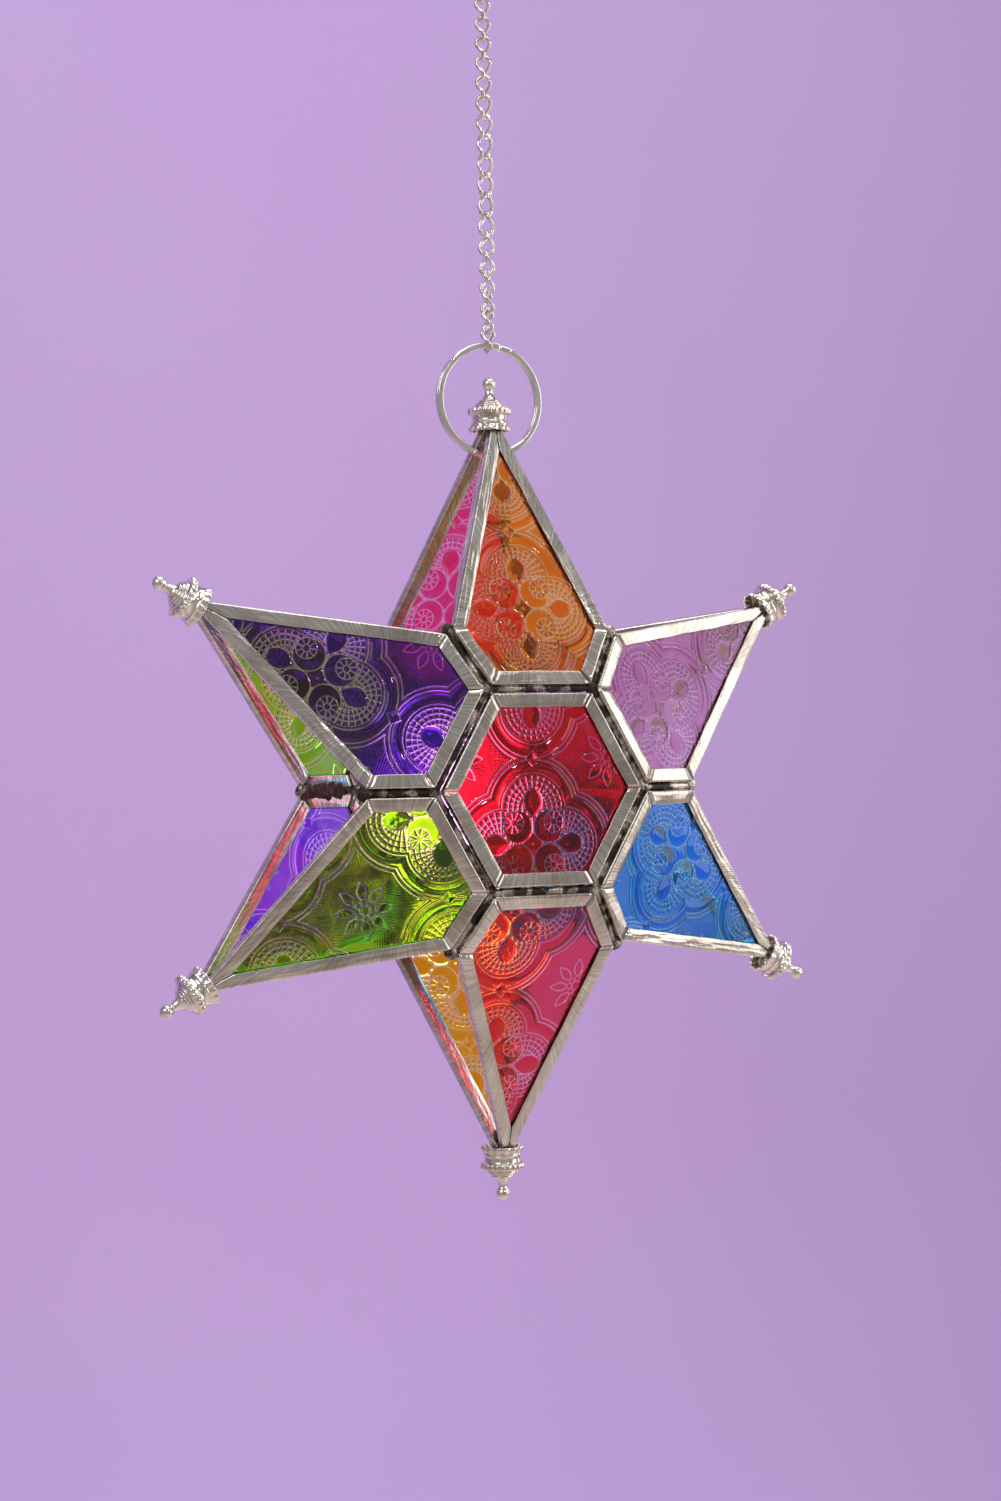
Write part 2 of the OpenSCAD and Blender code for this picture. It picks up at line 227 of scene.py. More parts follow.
def make_piece(name, shape, material, body, nodes=()):
    """Makes the shape into an object that rides on a body and stands for CAD nodes."""
    sizes = np.concatenate([np.full(len(f), f.shape[1]) for f in shape.faces])
    starts = np.concatenate([[0], np.cumsum(sizes)[:-1]])
    loops = np.concatenate([f.ravel() for f in shape.faces])
    smooth = np.concatenate([np.full(len(f), s) for f, s in zip(shape.faces, shape.smooth)])
    points = np.concatenate(shape.points) * MM
    mesh = bpy.data.meshes.new(name)
    mesh.vertices.add(len(points))
    mesh.vertices.foreach_set("co", points.astype(np.float32).ravel())
    mesh.loops.add(len(loops))
    mesh.loops.foreach_set("vertex_index", loops.astype(np.int32))
    mesh.polygons.add(len(sizes))
    mesh.polygons.foreach_set("loop_start", starts.astype(np.int32))
    mesh.polygons.foreach_set("use_smooth", smooth.astype(bool))
    uvs = np.concatenate([uv.reshape(-1, 2) for uv in shape.uvs])
    mesh.uv_layers.new(name="UVMap").data.foreach_set("uv", uvs.astype(np.float32).ravel())
    mesh.update(calc_edges=True)
    mesh.validate()
    mesh.materials.append(material)
    piece = bpy.data.objects.new(name, mesh)
    bpy.context.scene.collection.objects.link(piece)
    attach(piece, body)
    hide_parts(*nodes)
    return piece


def lengths(points):
    """Distance along a line of points, from its first."""
    steps = np.linalg.norm(np.diff(points, axis=0), axis=1)
    return np.concatenate([[0], np.cumsum(steps)])


def skin(rings, closed=False):
    """Faces over rings of points, as (points, faces, uvs). The uvs are in mm along and round the skin."""
    n, s = rings.shape[:2]
    rows = n if closed else n - 1
    i, j = np.meshgrid(np.arange(rows), np.arange(s), indexing="ij")
    near, far = i * s, (i + 1) % n * s
    quads = np.stack([near + j, near + (j + 1) % s, far + (j + 1) % s, far + j], axis=-1).reshape(-1, 4)
    widest = rings[np.argmax(np.ptp(rings, axis=1).sum(axis=1))]
    u = lengths(np.vstack([rings.mean(axis=1), rings[:1].mean(axis=1)]))
    v = lengths(np.vstack([widest, widest[:1]]))
    uv = np.stack([
        np.stack([u[i], v[j]], axis=-1),
        np.stack([u[i], v[j + 1]], axis=-1),
        np.stack([u[i + 1], v[j + 1]], axis=-1),
        np.stack([u[i + 1], v[j]], axis=-1),
    ], axis=2).reshape(-1, 4, 2)
    faces, uvs = [quads], [uv]
    if not closed:
        ring = np.arange(s)
        faces += [ring[::-1][None], (ring + (n - 1) * s)[None]]
        uvs += [np.zeros((1, s, 2)), np.zeros((1, s, 2))]
    return rings.reshape(-1, 3), faces, uvs


def frames_along(path, closed=False):
    """Two directions square to a path at each of its points, turning as little as they can."""
    if closed:
        ahead = np.roll(path, -1, axis=0) - np.roll(path, 1, axis=0)
    else:
        ahead = np.gradient(path, axis=0)
    ahead = ahead / np.linalg.norm(ahead, axis=1)[:, None]
    side = np.cross(ahead[0], [0.31, 0.17, 0.93])
    sides = []
    for direction in ahead:
        side = side - direction * (side @ direction)
        side = side / np.linalg.norm(side)
        sides.append(side)
    sides = np.array(sides)
    if closed:
        drift = sides[0] - ahead[-1] * (sides[0] @ ahead[-1])
        drift = drift / np.linalg.norm(drift)
        angle = math.atan2(np.cross(sides[-1], drift) @ ahead[-1], sides[-1] @ drift)
        share = angle * np.arange(len(path))[:, None] / (len(path) - 1)
        sides = sides * np.cos(share) + np.cross(ahead, sides) * np.sin(share)
    return sides, np.cross(ahead, sides)


def wire(path, radius, closed=False, around=14):
    """A round wire along a path. radius is one number, or one for each point of the path."""
    side, other = frames_along(path, closed)
    angle = np.linspace(0, 2 * math.pi, around, endpoint=False)[None, :, None]
    radius = np.broadcast_to(radius, len(path))[:, None, None]
    rings = path[:, None] + radius * (np.cos(angle) * side[:, None] + np.sin(angle) * other[:, None])
    return skin(rings, closed)


def arc(x, y, r, start, end, steps):
    t = np.radians(np.linspace(start, end, steps))
    return np.stack([x + r * np.cos(t), y + r * np.sin(t)], axis=1)


def wobble(rng, position, wavelength, height):
    """A smooth irregular wave along a line, never above 0 or below -height."""
    wave = sum(
        np.sin(2 * math.pi * position / (wavelength * stretch) + rng.uniform(0, 2 * math.pi))
        for stretch in (1, 0.61, 0.37)
    )
    return height * (wave - 3) / 6


def lumpy(rng, directions):
    """Irregular swelling for a lump, from about -1 to 1, by direction from its centre."""
    total = np.zeros(len(directions))
    for size in (1.3, 2.4, 4.1):
        axis = rng.normal(size=3)
        axis /= np.linalg.norm(axis)
        total += np.sin(size * 2 * (directions @ axis) + rng.uniform(0, 2 * math.pi)) / size
    return total


def lump(rng, centre, radii, around=26, rows=15, rough=0.16):
    """A lump of solder: a ball flattened by radii and swollen unevenly."""
    latitude = np.linspace(-89, 89, rows)
    angle = np.radians(np.linspace(0, 360, around, endpoint=False))[None, :]
    level = np.radians(latitude)[:, None]
    unit = np.stack([
        np.cos(level) * np.cos(angle),
        np.cos(level) * np.sin(angle),
        np.sin(level) * np.ones_like(angle),
    ], axis=-1)
    swell = 1 + rough * lumpy(rng, unit.reshape(-1, 3)).reshape(rows, around, 1)
    return skin(np.asarray(centre) + unit * swell * np.asarray(radii))


# ---- Materials ----


class Paint:
    """A material's nodes, added and joined with short calls."""

    def __init__(self, name):
        self.material = bpy.data.materials.new(name)
        self.material.use_nodes = True
        self.tree = self.material.node_tree
        self.tree.nodes.clear()

    def add(self, kind, values=None, **settings):
        """A node of that kind. values maps its inputs to a value or to another node's output."""
        node = self.tree.nodes.new("ShaderNode" + kind)
        for key, value in settings.items():
            setattr(node, key, value)
        for key, value in (values or {}).items():
            if isinstance(value, bpy.types.NodeSocket):
                self.tree.links.new(value, node.inputs[key])
            else:
                node.inputs[key].default_value = value
        return node

    def coordinates(self, source, scale):
        scale = scale if isinstance(scale, tuple) else (scale, scale, scale)
        place = self.add("TexCoord").outputs[source]
        return self.add("Mapping", {"Vector": place, "Scale": scale}).outputs["Vector"]

    def noise(self, source, scale, detail=3.0, roughness=0.55):
        """Noise between about 0.2 and 0.8. scale is features per metre, or per mm for source UV.

        It is one number, or one for each direction.
        """
        where = self.coordinates(source, scale)
        values = {"Vector": where, "Scale": 1.0, "Detail": detail, "Roughness": roughness}
        return self.add("TexNoise", values).outputs["Fac"]

    def spread(self, value, low, high, to_low, to_high):
        values = {"Value": value, "From Min": low, "From Max": high, "To Min": to_low, "To Max": to_high}
        return self.add("MapRange", values).outputs["Result"]

    def mix(self, factor, a, b):
        node = self.add("Mix", data_type="RGBA")
        for key, value in ((0, factor), (6, a), (7, b)):
            if isinstance(value, bpy.types.NodeSocket):
                self.tree.links.new(value, node.inputs[key])
            else:
                node.inputs[key].default_value = value
        return node.outputs[2]

    def bump(self, height, distance, normal=None, strength=1.0):
        values = {"Height": height, "Distance": distance * MM, "Strength": strength}
        if normal is not None:
            values["Normal"] = normal
        return self.add("Bump", values).outputs["Normal"]

    def solid(self, colour, rough, normal, metallic=1.0):
        """Ends the material with a solid surface."""
        values = {"Base Color": colour, "Metallic": metallic, "Roughness": rough, "Normal": normal}
        return self.output(self.add("BsdfPrincipled", values).outputs["BSDF"])

    def output(self, shader):
        self.add("OutputMaterial", {"Surface": shader})
        return self.material


def rgb(red, green, blue):
    return (red, green, blue, 1.0)


def plated_metal(name, bright, dull, low_rough, high_rough, dirt=0.0):
    """Plated metal with a fine cloudy finish, small dents, and dirt where the cloud is dark."""
    paint = Paint(name)
    cloud = paint.noise("Object", 90, detail=4)
    fine = paint.noise("Object", 1500, detail=2)
    colour = paint.mix(paint.spread(cloud, 0.35, 0.65, 0, 1), bright, dull)
    if dirt:
        spots = paint.noise("Object", 220, detail=5, roughness=0.65)
        amount = paint.spread(spots, 0.54, 0.72, 0, dirt)
        colour = paint.mix(amount, colour, rgb(0.12, 0.075, 0.045))
    rough = paint.spread(paint.noise("Object", 240, detail=4), 0.3, 0.7, low_rough, high_rough)
    normal = paint.bump(cloud, 0.1)
    normal = paint.bump(fine, 0.006, normal)
    return paint.solid(colour, rough, normal)


def channel_metal():
    """Tinned strip: fine ribs across its length from the rollers, their grooves darkened as painted shade,
    soft dents and a cloudy finish.
    """
    paint = Paint("tinned_channel")
    ribs = paint.noise("UV", (1.9, 0.035, 1), detail=1.5, roughness=0.6)
    streaks = paint.noise("UV", (0.35, 0.02, 1), detail=3)
    cloud = paint.noise("Object", 70, detail=4)
    dents = paint.noise("UV", (0.09, 0.2, 1), detail=1)
    scuffs = paint.noise("UV", (0.25, 5.0, 1), detail=3, roughness=0.7)
    colour = paint.mix(paint.spread(cloud, 0.35, 0.68, 0, 1), rgb(0.88, 0.84, 0.78), rgb(0.56, 0.51, 0.46))
    # Painted shade: the colour darkens in the grooves between the ribs, where the rib height is low.
    colour = paint.mix(paint.spread(ribs, 0.40, 0.56, 0.45, 0), colour, rgb(0.30, 0.26, 0.23))
    rough = paint.spread(streaks, 0.3, 0.7, 0.13, 0.27)
    normal = paint.bump(dents, 0.5, strength=0.8)
    normal = paint.bump(ribs, 0.06, normal)
    normal = paint.bump(scuffs, 0.008, normal)
    return paint.solid(colour, rough, normal)


def solder_metal():
    """Solder: bright where it is clean, brown and rough where flux has burnt on it."""
    paint = Paint("solder_metal")
    cloud = paint.noise("Object", 160, detail=5, roughness=0.65)
    burnt = paint.spread(cloud, 0.41, 0.53, 0, 0.95)
    colour = paint.mix(burnt, rgb(0.62, 0.57, 0.50), rgb(0.028, 0.018, 0.014))
    rough = paint.spread(cloud, 0.4, 0.65, 0.24, 0.6)
    normal = paint.bump(paint.noise("Object", 420, detail=4), 0.3)
    return paint.solid(colour, rough, normal, metallic=0.9)


def flux_and_painted_shade_metal():
    """Flux over solder, coloured dark brown as painted shade on the seam, with a dull crust."""
    paint = Paint("flux_with_painted_shade")
    cloud = paint.noise("Object", 300, detail=5, roughness=0.65)
    share = paint.spread(cloud, 0.35, 0.65, 0, 1)
    # Painted shade: these near-black browns stand for the shade that falls over the seam's lumps.
    colour = paint.mix(share, rgb(0.10, 0.045, 0.035), rgb(0.022, 0.012, 0.011))
    rough = paint.spread(cloud, 0.35, 0.65, 0.32, 0.7)
    normal = paint.bump(paint.noise("Object", 700, detail=4), 0.3)
    return paint.solid(colour, rough, normal, metallic=0.0)


GLASS_COLOURS = {
    "crimson": (0.96, 0.006, 0.05),
    "orange": (1.0, 0.47, 0.002),
    "mauve": (0.79, 0.46, 0.70),
    "sky_blue": (0.006, 0.50, 0.95),
    "red_pink": (0.95, 0.07, 0.17),
    "green": (0.40, 0.86, 0.008),
    "indigo": (0.20, 0.04, 0.64),
    "magenta": (1.0, 0.10, 0.36),
    "amber": (1.0, 0.68, 0.012),
    "teal": (0.12, 0.78, 0.86),
    "violet_blue": (0.32, 0.09, 0.90),
}


# How much of its tint each part of the glass has, as powers of the tint's colour
PLAIN_DEPTHS = (2.05, 2.6)
DOME_DEPTH = 4
LINE_DEPTH = 0.4
SHADOW_DEPTH = 0.6


def tinted_glass(name, tint):
    """Pressed glass with its colour on the patterned face: deep on domes, pale on lines, clear inside."""
    paint = Paint(name)
    streaks = paint.noise("Object", 60, detail=3)
    plain = [depth_of(tint, depth) for depth in PLAIN_DEPTHS]
    colour = paint.mix(paint.spread(streaks, 0.35, 0.65, 0, 1), *plain)
    thinness = paint.add("Attribute", attribute_name="thinness").outputs["Fac"]
    colour = paint.mix(paint.spread(thinness, -0.8, 0, 0.85, 0), colour, depth_of(tint, DOME_DEPTH))
    colour = paint.mix(paint.spread(thinness, 0.3, 0.95, 0, 0.85), colour, depth_of(tint, LINE_DEPTH))
    colour = paint.mix(paint.spread(thinness, 1.1, 1.9, 0, 1), colour, rgb(1, 1, 1))
    rough = paint.spread(paint.noise("Object", 500), 0.3, 0.7, 0.01, 0.04)
    normal = paint.bump(paint.noise("Object", 300, detail=2), 0.03)
    glass = paint.add("BsdfPrincipled", {
        "Base Color": colour, "Roughness": rough, "Normal": normal,
        "IOR": 1.5, "Transmission Weight": 1.0,
    })
    filtered = paint.add("BsdfTransparent", {"Color": depth_of(tint, SHADOW_DEPTH)})
    lamp_ray = paint.add("LightPath").outputs["Is Shadow Ray"]
    mixed = paint.add("MixShader", {0: lamp_ray, 1: glass.outputs["BSDF"], 2: filtered.outputs["BSDF"]})
    return paint.output(mixed.outputs["Shader"])


def depth_of(tint, depth):
    """The colour of light that has passed through some depth of tinted glass."""
    return rgb(*(c**depth for c in tint))


def backdrop_paint():
    paint = Paint("pale_backdrop")
    cloud = paint.noise("Object", 1.2, detail=2)
    wall = paint.mix(paint.spread(cloud, 0.3, 0.7, 0, 1), rgb(0.60, 0.43, 0.80), rgb(0.57, 0.40, 0.77))
    place = paint.add("TexCoord").outputs["Object"]
    height = paint.add("SeparateXYZ", {0: place}).outputs["Z"]
    colour = paint.mix(paint.spread(height, -1.245, -1.2, 0, 1), rgb(0.84, 0.75, 0.66), wall)
    values = {"Base Color": colour, "Roughness": 0.95, "Specular IOR Level": 0.1}
    shader = paint.add("BsdfPrincipled", values)
    return paint.output(shader.outputs["BSDF"])


# ---- Channel frames ----


def channel_section():
    """Outline of the folded strip: distance in from the pane's outer edge, and height."""
    fold = 0.75
    lip = SHEET_T / 2
    lip_x = FLANGE_W - lip
    return np.vstack([
        arc(lip_x, -lip, lip, -90, 90, 5),
        [[FLANGE_W * 0.62, 0], [FLANGE_W * 0.35, 0]],
        arc(fold, -fold, fold, 90, 180, 6),
        [[0, -CHANNEL_T / 2]],
        arc(fold, fold - CHANNEL_T, fold, 180, 270, 6),
        [[FLANGE_W * 0.5, -CHANNEL_T]],
        arc(lip_x, lip - CHANNEL_T, lip, -90, 90, 5),
        arc(fold, fold - CHANNEL_T, fold - SHEET_T, 270, 180, 4),
        arc(fold, -fold, fold - SHEET_T, 180, 90, 4),
        [[FLANGE_W * 0.5, -SHEET_T]],
    ])


MITRE_GAP = 0.05
STRIP_STEP = 1.6


def channel_strips(name, rng):
    """A pane's frame: one folded strip to a side, mitred where the sides meet."""
    section = channel_section()
    shape = Shape()
    ends = [strip_ends(name, SEAM_GAP / 2 + v) for v, _ in section]
    for side in range(len(ends[0])):
        start = np.array([e[side][0] for e in ends])
        stop = np.array([e[side][1] for e in ends])
        ahead = stop.mean(axis=0) - start.mean(axis=0)
        long = np.linalg.norm(ahead)
        ahead /= long
        inward = np.array([-ahead[1], ahead[0]])
        steps = max(4, int(long / STRIP_STEP))
        share = np.linspace(0, 1, steps)[:, None, None]
        flat = start * (1 - share) + stop * share
        squeeze = MITRE_GAP * (1 - 2 * share)
        flat = flat + squeeze * ahead
        position = share[:, 0, 0] * long
        outer_share = np.clip(section[:, 0] / FLANGE_W, 0, 1)
        lip_wave = wobble(rng, position, 31, 0.22)[:, None] * outer_share
        flat = flat + lip_wave[:, :, None] * inward
        front = np.clip(1 + section[:, 1] / CHANNEL_T * 2, 0, 1) * outer_share
        sink = wobble(rng, position, 23, 0.16)[:, None] * front
        z = np.broadcast_to(section[:, 1], flat.shape[:2]) + sink
        shape.add(*skin(np.dstack([flat, z])), smooth=[True, False, False])
    return shape


# ---- Pressed glass ----

# The pattern repeats on a square grid. Each medallion has four petals: an eye inside a field of
# small pads. The two petals on the x axis end in curls, which lie on the four domes at its centre
PERIOD = 50.0
PETAL_R = 10.4
FIELD_R = 9.6
RIDGE_R = 10.5
OUTLINES = (14.4, 15.75)
PAD = 1.6
PADS_ROUND = 28
EYE_TIP, EYE_MIDDLE, EYE_END, EYE_HALF = 7.55, 12.2, 16.3, 3.15
DOME_AT, DOME_R = 5.0, 4.85
CURL_X, CURL_Y, CURL_R = 6.5, 6.3, 3.15
CURL_BOSS_R, CURL_CELLS = 1.05, 9
BOSS_R = 1.3
BEADS_AT, BEAD_R = 2.3, 0.72
PETAL_START, PETAL_LONG, PETAL_HALF = 3, 5.8, 1.3
DIAMOND_R = 2.3
FEATHER_STEP = 0.95
LINE = 0.25
RELIEF_TOP = 0.55
FADE_START, FADE_W = 2.4, 0.8
GLASS_STEP = 0.24


def line(distance):
    """How strongly a line shows at some distance from its middle."""
    return np.exp(-((distance / LINE) ** 2))


def dome(share):
    """A smooth dome over the place where share is below 1."""
    return np.sqrt(np.clip(1 - share**2, 0, 1))


def eye(reach, across):
    """How far outside an eye's outline a place is, by its distance out along the petal and across it."""
    inner = np.sin(math.pi / 2 * np.clip((reach - EYE_TIP) / (EYE_MIDDLE - EYE_TIP), 0, 1))
    outer = dome((reach - EYE_MIDDLE) / (EYE_END - EYE_MIDDLE))
    half = EYE_HALF * np.where(reach < EYE_MIDDLE, inner, outer)
    beyond = np.maximum(EYE_TIP - reach, reach - EYE_END)
    return np.maximum(0.86 * (np.abs(across) - half), beyond)


def pads(reach, across):
    """Height and lines of a petal's pads. They lie in rings, and in straight rows below the rings."""
    up = reach - PETAL_R
    out = np.hypot(across, up)
    level = np.where(up > 0, out, across)
    row = (FIELD_R - level) / PAD
    turned = np.arctan2(across, up) * PADS_ROUND / (2 * math.pi)
    column = np.where(up > 0, turned, PADS_ROUND / 4 - up / PAD)
    wide = np.where(up > 0, out * 2 * math.pi / PADS_ROUND, PAD)
    return pad_cells(row, column, PAD, wide)


def pad_cells(row, column, deep, wide):
    """Pads with one to each unit of row and column, and the lines between them."""
    to_row = np.abs(row - np.round(row)) * deep
    to_column = np.abs(column - np.round(column)) * wide
    height = 0.24 * np.clip(to_row / 0.45, 0, 1) * np.clip(to_column / 0.45, 0, 1)
    return height, np.maximum(line(to_row), line(to_column))


def medallion(x, y):
    """Height and lines of the middle of a medallion. x and y are not below 0."""
    height, lines = np.zeros_like(x), np.zeros_like(x)

    def paint(where, new_height, new_lines):
        height[where] = np.broadcast_to(new_height, x.shape)[where]
        lines[where] = np.broadcast_to(new_lines, x.shape)[where]

    east, north = eye(x, y), eye(y, x)
    curl = np.hypot(x - CURL_X, y - CURL_Y) - CURL_R
    big = np.hypot(x - DOME_AT, y - DOME_AT) - DOME_R
    paint((np.hypot(x, y - PETAL_R) < FIELD_R) & (big > 0), *pads(y, x))
    east_field = np.where(x > PETAL_R, np.hypot(x - PETAL_R, y) < FIELD_R, (y < FIELD_R) & (x > CURL_X))
    paint(east_field & (big > 0) & (y > 0.02), *pads(x, y))
    paint(big < 0, 0.06 + 0.4 * dome(1 + big / DOME_R), line(big))
    out = curl + CURL_R
    turned = np.arctan2(y - CURL_Y, x - CURL_X) * CURL_CELLS / (2 * math.pi)
    cell, cell_lines = pad_cells(0.5, turned, 2, out * 2 * math.pi / CURL_CELLS)
    cell_lines = np.where(out > CURL_BOSS_R, cell_lines, 0)
    paint(curl < 0, 0.26 + 0.8 * cell, np.maximum(cell_lines, line(out - CURL_BOSS_R)))
    for outside in (east, north):
        paint(outside < 0, 0.08 + 0.44 * dome(np.clip(1 + outside / 3, 0, 1)), 0)
    centre = np.maximum(x, y) < 3
    paint(centre & (big > 0), 0.3 * dome((x + y) / 3.4), 0)
    for distance in (east, north, curl):
        lines[:] = np.maximum(lines, line(distance))
    return height, np.maximum(lines, np.where(curl > 0, line(big), 0))


def daisy(x, y):
    """Height and lines of a small daisy: a boss, eight beads round it and eight pointed petals."""
    out = np.hypot(x, y)
    eighth = math.pi / 4
    angle = (np.arctan2(y, x) + eighth / 2) % eighth - eighth / 2
    long, across = out * np.cos(angle), np.abs(out * np.sin(angle))
    height = 0.42 * dome(out / BOSS_R)
    bead_at = np.hypot(long - BEADS_AT, across)
    height = np.maximum(height, 0.3 * dome(bead_at / BEAD_R))
    lines = np.maximum(0.8 * line(out - 1.4), 0.7 * line(bead_at - 0.8))
    share = np.clip((long - PETAL_START) / PETAL_LONG, 0, 1)
    half = PETAL_HALF * np.sin(math.pi * share**0.85)
    inside = (long > PETAL_START) & (long < PETAL_START + PETAL_LONG)
    lines = np.maximum(lines, np.where(inside, line(across - half), 0))
    height = np.maximum(height, np.where(inside & (across < half), 0.16, 0))
    return height, lines


def pressed_pattern(x, y):
    """Height in mm of the pressed pattern and how far its colour thins, from a medallion's centre."""
    x = np.abs((x + PERIOD / 2) % PERIOD - PERIOD / 2)
    y = np.abs((y + PERIOD / 2) % PERIOD - PERIOD / 2)
    reach = np.minimum(np.hypot(x, y - PETAL_R), np.hypot(x - PETAL_R, y))
    next_one = np.minimum(np.hypot(x, y - PERIOD + PETAL_R), np.hypot(x - PERIOD + PETAL_R, y))
    near_edge = np.minimum(reach, next_one)
    height, lines = medallion(x, y)
    inside = reach < RIDGE_R - 0.5
    height, lines = np.where(inside, height, 0), np.where(inside, lines, 0)
    height = np.maximum(height, 0.24 * line(reach - RIDGE_R))
    lines = np.maximum(lines, 0.9 * line(reach - RIDGE_R))
    rise = np.clip((near_edge - RIDGE_R - 0.3) / (OUTLINES[0] - RIDGE_R - 0.6), 0, 1)
    height = np.maximum(height, 0.36 * np.sin(math.pi * rise))
    for radius in OUTLINES:
        height = np.maximum(height, 0.26 * line(near_edge - radius))
        lines = np.maximum(lines, line(near_edge - radius))
    outside = near_edge > OUTLINES[1] + 0.4
    flower, petals = daisy(x - PERIOD / 2, y - PERIOD / 2)
    slant = ((x + y) + 0.8 * np.abs(x - y)) / math.sqrt(2)
    feather = 0.5 + 0.5 * np.cos(slant * 2 * math.pi / FEATHER_STEP)
    plain = outside & (flower < 0.02) & (petals < 0.1)
    height = np.maximum(height, np.where(outside, np.maximum(flower, 0.22 * petals), 0))
    height = np.maximum(height, np.where(plain, 0.08 * feather, 0))
    lines = np.maximum(lines, np.where(outside, petals, 0))
    lines = np.maximum(lines, np.where(plain, 0.42 * feather, 0))
    for diamond in (x + np.abs(y - PERIOD / 2), y + np.abs(x - PERIOD / 2)):
        inside = diamond < DIAMOND_R
        height = np.where(inside, 0.46 * np.clip(1 - diamond / 2.6, 0, 1), height)
        lines = np.where(inside, 0, lines)
        lines = np.maximum(lines, line(diamond - DIAMOND_R))
    return height, np.clip(lines, 0, 1)


def glass_levels(name, distance):
    """Height and half width of a pane's outline at each of its corners' levels, going up."""
    if name == "hexagon":
        corners = inset(hexagon_corners, distance)
        flat, side = corners[1], corners[0]
        return [(-flat[1], flat[0]), (0, side[0]), (flat[1], flat[0])]
    corners = inset(point_corners, distance)
    end_y = CUT_Y - distance
    end_half = (corners[3, 1] - end_y) * EDGE_LEAN
    return [(corners[1, 1], corners[1, 0]), (corners[2, 1], corners[2, 0]), (end_y, end_half)]


def edge_distance(x, y, name, distance):
    """Distance in from the nearest side of the pane's outline, itself moved inwards by distance."""
    corners = inset(hexagon_corners if name == "hexagon" else point_corners, distance)
    nearest = np.full_like(x, np.inf)
    for here, following in zip(corners, np.roll(corners, -1, axis=0)):
        ahead = (following - here) / np.linalg.norm(following - here)
        nearest = np.minimum(nearest, ahead[0] * (y - here[1]) - ahead[1] * (x - here[0]))
    return nearest


def pressed_glass(name, pattern_at):
    """A pane of glass with the pattern pressed in its outer face, and how thin its colour is.

    Thinness is 1 on the pattern's lines, 0 where the glass is plain and below 0 on its domes. It is
    2 on the inner face, which has no colour of its own.
    """
    distance = SEAM_GAP / 2 + SHEET_T + GLASS_PLAY
    levels = glass_levels(name, distance)
    ys = [levels[0][0]]
    for (low, _), (high, _) in zip(levels, levels[1:]):
        steps = int((high - low) / GLASS_STEP)
        ys += list(np.linspace(low, high, steps + 1)[1:])
    ys = np.array(ys)
    half = np.interp(ys, [y for y, _ in levels], [w for _, w in levels])
    columns = int(2 * max(half) / GLASS_STEP)
    x = half[:, None] * np.linspace(-1, 1, columns)[None, :]
    y = np.broadcast_to(ys[:, None], x.shape)
    from_x, from_y, turned = pattern_at
    c, s = math.cos(math.radians(turned)), math.sin(math.radians(turned))
    dx, dy = x - from_x, y - from_y
    relief, lines = pressed_pattern(c * dx + s * dy, c * dy - s * dx)
    fade = np.clip((edge_distance(x, y, name, distance) - FADE_START) / FADE_W, 0, 1)
    base = -CHANNEL_T / 2 + GLASS_T / 2 - RELIEF_TOP - 0.05
    front = np.dstack([x, y, base + relief * fade])

    rows = len(ys)
    numbers = np.arange(rows * columns).reshape(rows, columns)
    quads = np.stack([numbers[:-1, :-1], numbers[:-1, 1:], numbers[1:, 1:], numbers[1:, :-1]], axis=-1)
    rim = np.concatenate([numbers[0, :-1], numbers[:-1, -1], numbers[-1, :0:-1], numbers[:0:-1, 0]])
    back = front.reshape(-1, 3)[rim].copy()
    back[:, 2] = -CHANNEL_T / 2 - GLASS_T / 2
    low = np.arange(len(rim)) + rows * columns
    sides = np.stack([rim, low, np.roll(low, -1), np.roll(rim, -1)], axis=1)
    faces = [quads.reshape(-1, 4), sides, low[::-1][None]]
    points = np.vstack([front.reshape(-1, 3), back])
    uvs = [points[f][:, :, :2] for f in faces]
    shape = Shape()
    shape.add(points, faces, uvs, smooth=[True, False, False])
    thinness = (lines - 0.9 * (1 - lines) * relief / RELIEF_TOP) * fade
    return shape, np.concatenate([thinness.ravel(), np.full(len(back), 2.0)])


# ---- Putting the panes together ----


def place_shape(shape, matrix):
    shape.points = [placed(matrix, points) for points in shape.points]
    return shape


def build_panes(metal, glasses):
    rng = np.random.default_rng(5)
    for shell in SHELLS:
        for name in ["hexagon", *POINTS]:
            pane = f"{shell}_{name}"
            where = lay_pane(shell, name)
            strips = place_shape(channel_strips(name, rng), where)
            make_piece(f"{pane}_channel", strips, metal, "lantern", [f"{pane}_frame"])
            tint, pattern_at = PANES[pane]
            glass, thinness = pressed_glass(name, pattern_at)
            glass = place_shape(glass, where)
            piece = make_piece(f"{pane}_pressed", glass, glasses[tint], "lantern", [f"{pane}_glass"])
            attribute = piece.data.attributes.new("thinness", "FLOAT", "POINT")
            attribute.data.foreach_set("value", thinness.astype(np.float32))


# ---- Solder ----


def bead(rng, start, stop, radius, step=0.8):
    """A run of solder between two places, thick and thin along its length."""
    start, stop = np.asarray(start, float), np.asarray(stop, float)
    long = np.linalg.norm(stop - start)
    share = np.linspace(0, 1, int(long / step))
    path = start + (stop - start) * share[:, None]
    swell = radius + wobble(rng, share * long, 7, 0.35 * radius)
    return wire(path, swell, around=12)


SEAM_SUNK, SEAM_BEAD_R = 2.9, 1.45
FLUX_START_R, FLUX_END_R, FLUX_STEP = 40, 54, 1.5


